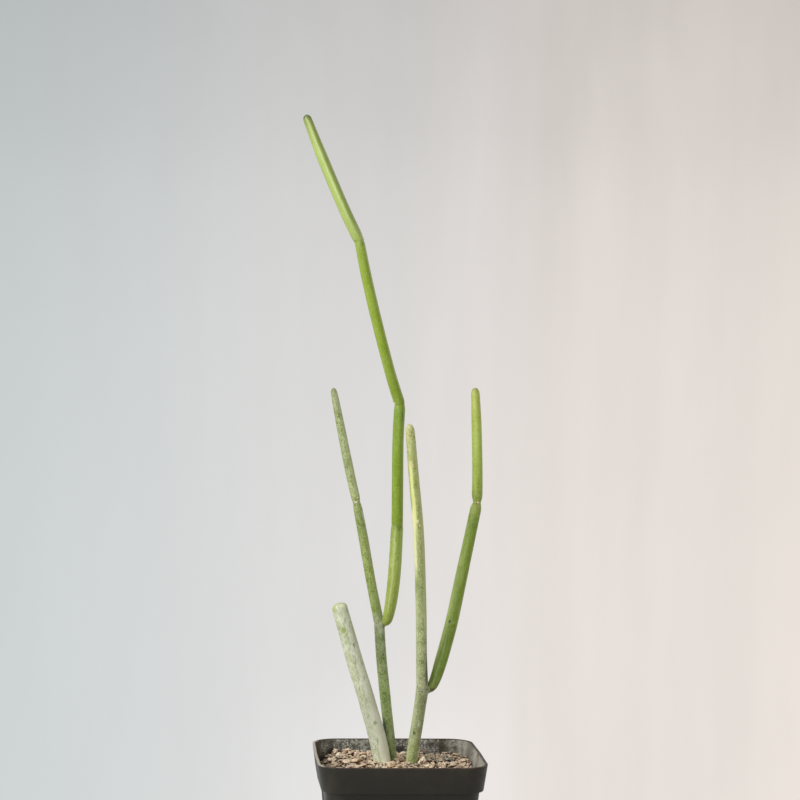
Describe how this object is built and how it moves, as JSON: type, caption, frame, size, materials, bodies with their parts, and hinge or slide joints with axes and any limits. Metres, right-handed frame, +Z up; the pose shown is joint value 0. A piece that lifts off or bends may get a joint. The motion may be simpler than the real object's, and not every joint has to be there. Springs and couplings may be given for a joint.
{
  "type": "potted sarcostemma",
  "caption": "Leafless succulent with slender jointed green stems rising from gritty mineral mix in a small square black nursery pot.",
  "frame": {"origin": "middle of the pot's underside, on the surface that the pot stands on", "axes": "+Z up, along the plant; +X and +Y along the pot's sides, -Y towards the side that the two lowest stems lean over"},
  "size_m": [0.0808, 0.0706, 0.3397],
  "materials": {
    "pot_plastic": "thin black moulded plastic, satin outside, with pale lime bloom on its inside walls",
    "gritty_mix": "dry mix of pumice, baked clay and lava crumbs, fully rough",
    "root_bark": "dull brown root bark",
    "waxy_old_stem": "thick living stem under a whitish wax bloom, with green scars",
    "grey_green_stem": "living grey-green stem, faintly waxy and speckled",
    "fresh_green_stem": "living yellow-green stem, satin",
    "twig_bark": "dry brown twig",
    "dry_straw": "dry straw",
    "pumice": "cream pumice, fully rough",
    "akadama_clay": "baked orange-brown clay, fully rough",
    "lava_stone": "dark purplish-grey lava, rough"
  },
  "bodies": {
    "root": {"pot": "pot_plastic", "potting_mix": "gritty_mix", "root_crown": "root_bark", "old_stem": "waxy_old_stem", "left_stem": "grey_green_stem", "tall_shoot": "fresh_green_stem", "right_stem": "grey_green_stem", "right_shoot": "fresh_green_stem", "twig_chip": "twig_bark", "straw_chip": "dry_straw", "pumice_grain_01": "pumice", "pumice_grain_02": "pumice", "pumice_grain_03": "pumice", "pumice_grain_04": "pumice", "pumice_grain_05": "pumice", "pumice_grain_06": "pumice", "pumice_grain_07": "pumice", "pumice_grain_08": "pumice", "pumice_grain_09": "pumice", "pumice_grain_10": "pumice", "pumice_grain_11": "pumice", "pumice_grain_12": "pumice", "pumice_grain_13": "pumice", "pumice_grain_14": "pumice", "pumice_grain_15": "pumice", "pumice_grain_16": "pumice", "akadama_grain_01": "akadama_clay", "akadama_grain_02": "akadama_clay", "akadama_grain_03": "akadama_clay", "akadama_grain_04": "akadama_clay", "akadama_grain_05": "akadama_clay", "akadama_grain_06": "akadama_clay", "akadama_grain_07": "akadama_clay", "akadama_grain_08": "akadama_clay", "akadama_grain_09": "akadama_clay", "akadama_grain_10": "akadama_clay", "akadama_grain_11": "akadama_clay", "akadama_grain_12": "akadama_clay", "akadama_grain_13": "akadama_clay", "lava_grain_01": "lava_stone", "lava_grain_02": "lava_stone", "lava_grain_03": "lava_stone", "lava_grain_04": "lava_stone", "lava_grain_05": "lava_stone", "lava_grain_06": "lava_stone", "lava_grain_07": "lava_stone", "lava_grain_08": "lava_stone", "lava_grain_09": "lava_stone"}
  },
  "joints": []
}
